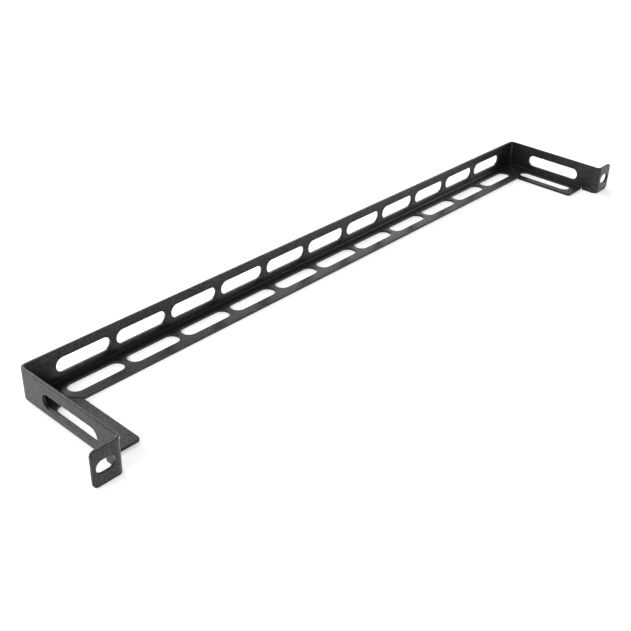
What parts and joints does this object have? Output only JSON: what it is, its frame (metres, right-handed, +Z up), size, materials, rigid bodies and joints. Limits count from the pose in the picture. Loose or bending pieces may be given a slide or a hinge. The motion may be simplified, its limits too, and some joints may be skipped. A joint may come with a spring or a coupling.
{
  "type": "horizontal cable manager",
  "caption": "Rack lacing bar folded from one sheet: a slotted web set back on two slotted arms, with inward flanges and outward screw ears.",
  "frame": {"origin": "middle of the bar's width and depth, on the plane that its flanges rest on", "axes": "+X along the bar, +Y from the screw ears towards the web at the back, +Z up from the flanges"},
  "size_m": [0.4826, 0.0804, 0.0208],
  "materials": {
    "powder_coat": "satin black powder coat over steel, with a fine even texture"
  },
  "bodies": {
    "root": {"lacing_bar": "powder_coat"}
  },
  "joints": []
}
